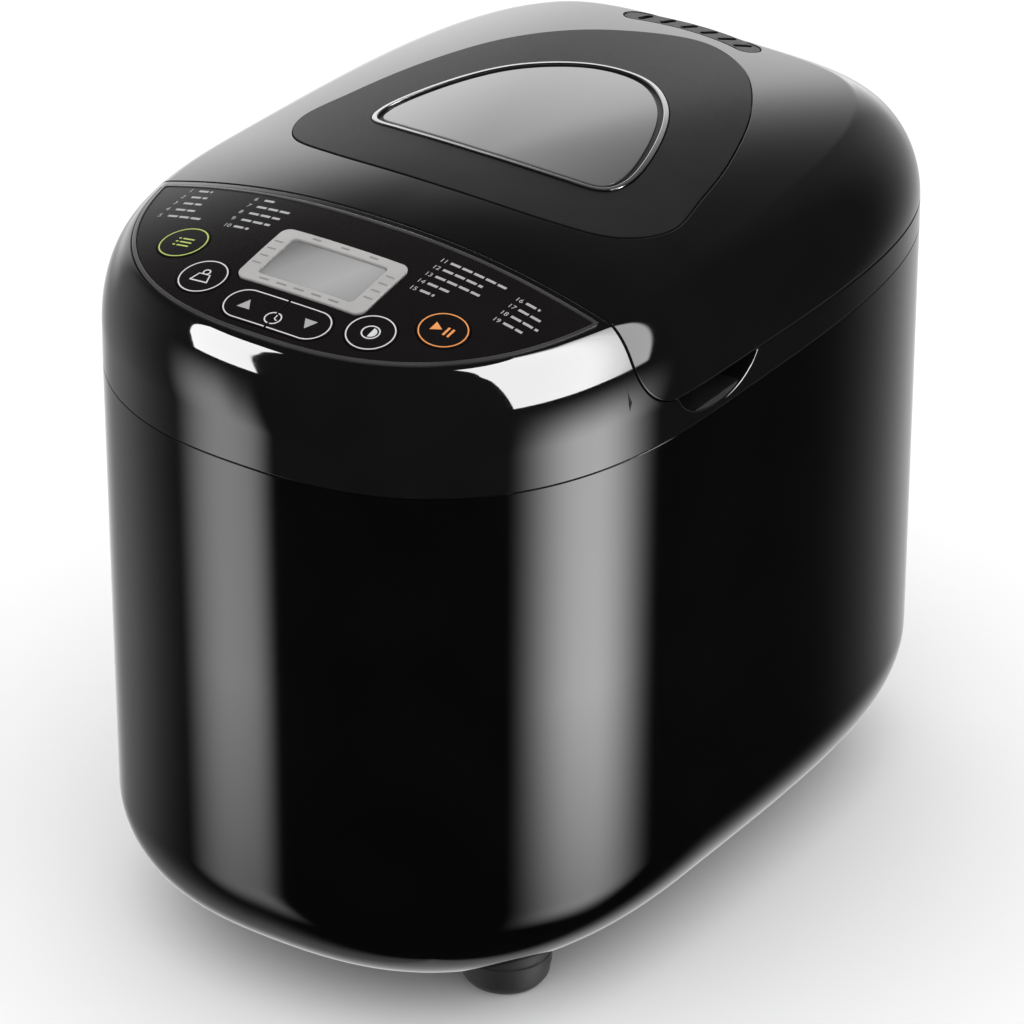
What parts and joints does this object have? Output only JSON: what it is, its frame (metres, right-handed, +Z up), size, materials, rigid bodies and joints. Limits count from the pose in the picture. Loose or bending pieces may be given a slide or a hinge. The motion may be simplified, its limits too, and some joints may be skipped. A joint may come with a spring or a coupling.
{
  "type": "bread machine",
  "caption": "Oval gloss-black countertop bread machine with a domed hinged lid, viewing window, sloping key panel, lift-out pan and belt-driven kneading paddle.",
  "frame": {"origin": "bottom centre of the machine, on the surface that its feet stand on", "axes": "+Z up; -Y is the front with the control panel, +Y the hinge side; +X is the right-hand side seen from the front"},
  "size_m": [0.23, 0.3392, 0.2945],
  "materials": {
    "housing_gloss": "gloss black moulded plastic",
    "collar_gloss": "gloss black moulded plastic",
    "matte_trim": "fine-textured matte dark grey plastic",
    "matte_black": "matte black plastic",
    "foot_rubber": "dark grey rubber",
    "black_rubber": "black rubber",
    "grey_trim": "satin light grey plastic",
    "panel_bezel": "gloss dark grey plastic",
    "panel_film": "satin black printed film",
    "display_glass": "grey liquid crystal display",
    "window_glass": "clear tempered glass",
    "sheet_steel": "satin aluminised steel",
    "cast_aluminium": "satin cast aluminium",
    "non_stick": "dark non-stick coating",
    "bearing_bronze": "sintered bronze",
    "element_sheath": "heat-tinted steel sheath",
    "ceramic": "off-white ceramic",
    "board_green": "green circuit board",
    "pulley_plastic": "natural nylon"
  },
  "bodies": {
    "housing": {"outer_body": "housing_gloss", "base_plate": "matte_black", "rear_grille": "matte_black", "cord_gland": "black_rubber", "top_housing": "collar_gloss", "panel_bezel": "panel_bezel", "control_panel": "panel_film", "lcd_frame": "grey_trim", "lcd_display": "display_glass", "control_board": "board_green", "power_board": "board_green", "chamber_liner": "sheet_steel", "heating_element": "element_sheath", "element_bush_left": "ceramic", "element_bush_right": "ceramic", "temperature_sensor": "sheet_steel", "pan_seat": "cast_aluminium", "pan_spring_left": "sheet_steel", "pan_spring_right": "sheet_steel", "chassis": "sheet_steel", "shaft_bearing": "bearing_bronze", "drive_belt": "black_rubber", "motor": "sheet_steel", "run_capacitor": "grey_trim", "hinge_bracket_left": "sheet_steel", "hinge_bracket_right": "sheet_steel", "hinge_pin": "sheet_steel", "foot_front_left": "foot_rubber", "foot_front_right": "foot_rubber", "foot_rear_left": "foot_rubber", "foot_rear_right": "foot_rubber"},
    "lid": {"lid_shell": "housing_gloss", "lid_insert": "matte_trim", "window_frame": "grey_trim", "window_pane": "window_glass", "lid_vent_grille": "matte_black", "lid_inner_cover": "matte_black", "lid_liner": "cast_aluminium", "inner_pane": "window_glass", "hinge_arm_left": "sheet_steel", "hinge_arm_right": "sheet_steel"},
    "pan": {"bread_pan": "non_stick", "pan_foot": "cast_aluminium", "pan_bush": "bearing_bronze"},
    "pan_handle": {"pan_handle": "sheet_steel"},
    "pan_spindle": {"pan_shaft": "sheet_steel", "kneading_paddle": "non_stick"},
    "drive": {"drive_shaft": "sheet_steel", "drive_coupler": "cast_aluminium", "drive_pulley": "pulley_plastic"},
    "motor_rotor": {"motor_shaft": "sheet_steel", "motor_pulley": "pulley_plastic"},
    "menu_key": {"menu_key": "panel_film"},
    "weight_key": {"weight_key": "panel_film"},
    "timer_up_key": {"timer_up_key": "panel_film"},
    "timer_down_key": {"timer_down_key": "panel_film"},
    "colour_key": {"colour_key": "panel_film"},
    "start_key": {"start_key": "panel_film"}
  },
  "joints": [
    {"name": "lid_hinge", "type": "hinge", "parent": "housing", "child": "lid", "pos_m": [0, 0.16, 0.239], "axis": [-1, 0, 0], "range_deg": [0, 80]},
    {"name": "pan_lift", "type": "slide", "parent": "housing", "child": "pan", "axis": [0, 0, 1], "range_m": [0, 0.008]},
    {"name": "bail_swing", "type": "hinge", "parent": "pan", "child": "pan_handle", "pos_m": [0, 0.033, 0.218], "axis": [0, -1, 0], "range_deg": [0, 6]},
    {"name": "drive_spin", "type": "hinge", "parent": "housing", "child": "drive", "pos_m": [0, 0.033, 0.05], "axis": [0, 0, 1], "continuous": true},
    {"name": "motor_spin", "type": "hinge", "parent": "housing", "child": "motor_rotor", "pos_m": [0, -0.118, 0.05], "axis": [0, 0, 1], "continuous": true},
    {"name": "paddle_spin", "type": "hinge", "parent": "pan", "child": "pan_spindle", "pos_m": [0, 0.033, 0.09], "axis": [0, 0, 1], "continuous": true},
    {"name": "menu_key_press", "type": "slide", "parent": "housing", "child": "menu_key", "axis": [0, 0, -1], "range_m": [0, 0.0006], "stiffness_N_per_m": 1500},
    {"name": "weight_key_press", "type": "slide", "parent": "housing", "child": "weight_key", "axis": [0, 0, -1], "range_m": [0, 0.0006], "stiffness_N_per_m": 1500},
    {"name": "timer_up_key_press", "type": "slide", "parent": "housing", "child": "timer_up_key", "axis": [0, 0, -1], "range_m": [0, 0.0006], "stiffness_N_per_m": 1500},
    {"name": "timer_down_key_press", "type": "slide", "parent": "housing", "child": "timer_down_key", "axis": [0, 0, -1], "range_m": [0, 0.0006], "stiffness_N_per_m": 1500},
    {"name": "colour_key_press", "type": "slide", "parent": "housing", "child": "colour_key", "axis": [0, 0, -1], "range_m": [0, 0.0006], "stiffness_N_per_m": 1500},
    {"name": "start_key_press", "type": "slide", "parent": "housing", "child": "start_key", "axis": [0, 0, -1], "range_m": [0, 0.0006], "stiffness_N_per_m": 1500}
  ],
  "couplings": [
    {"joint": "motor_spin", "follows": "drive_spin", "ratio": 6},
    {"joint": "paddle_spin", "follows": "drive_spin", "ratio": 1}
  ]
}
